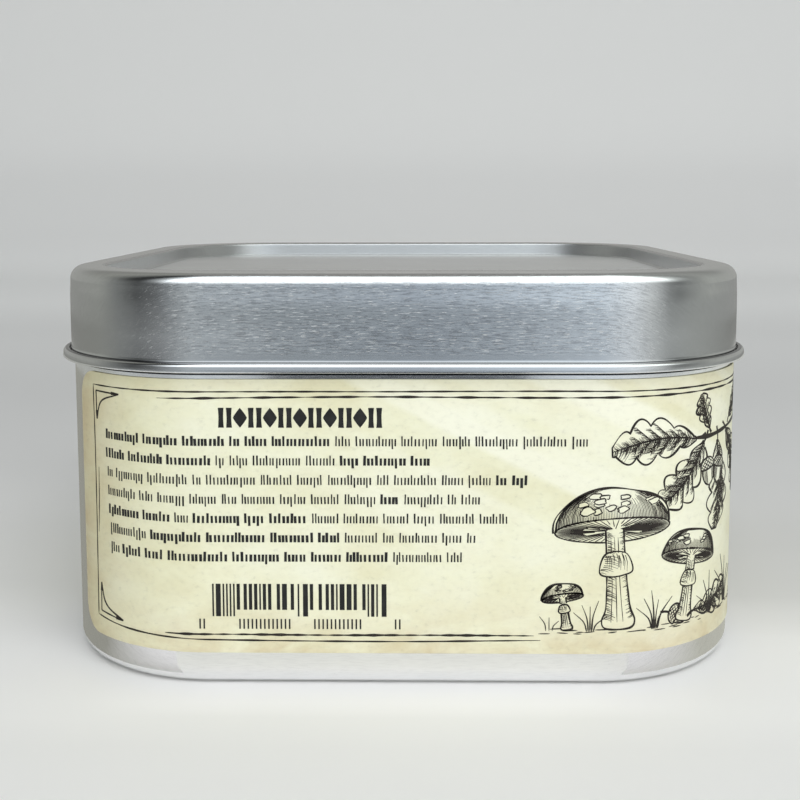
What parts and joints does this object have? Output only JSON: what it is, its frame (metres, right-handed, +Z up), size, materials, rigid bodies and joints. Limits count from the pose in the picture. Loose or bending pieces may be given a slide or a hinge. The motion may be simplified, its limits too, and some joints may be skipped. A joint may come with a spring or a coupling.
{
  "type": "square slip-lid tin with a wrap-around label",
  "caption": "Square tinplate box with rounded corners, a slip-on lid with a recessed panel and rolled lower edge, and a cream paper label printed with ink ornament round the body.",
  "frame": {"origin": "centre of the base, on the surface that the tin stands on", "axes": "+Z up out of the lid, +X to the right seen from the front, -Y out of the front, where the label starts at the left corner"},
  "size_m": [0.1052, 0.1052, 0.0585],
  "materials": {
    "tinplate": "satin tinplate, brushed along the walls",
    "label_paper": "coated paper, cream with tan ageing and dark ink"
  },
  "bodies": {
    "root": {"tin_body": "tinplate", "tin_lid": "tinplate", "paper_label": "label_paper"}
  },
  "joints": []
}
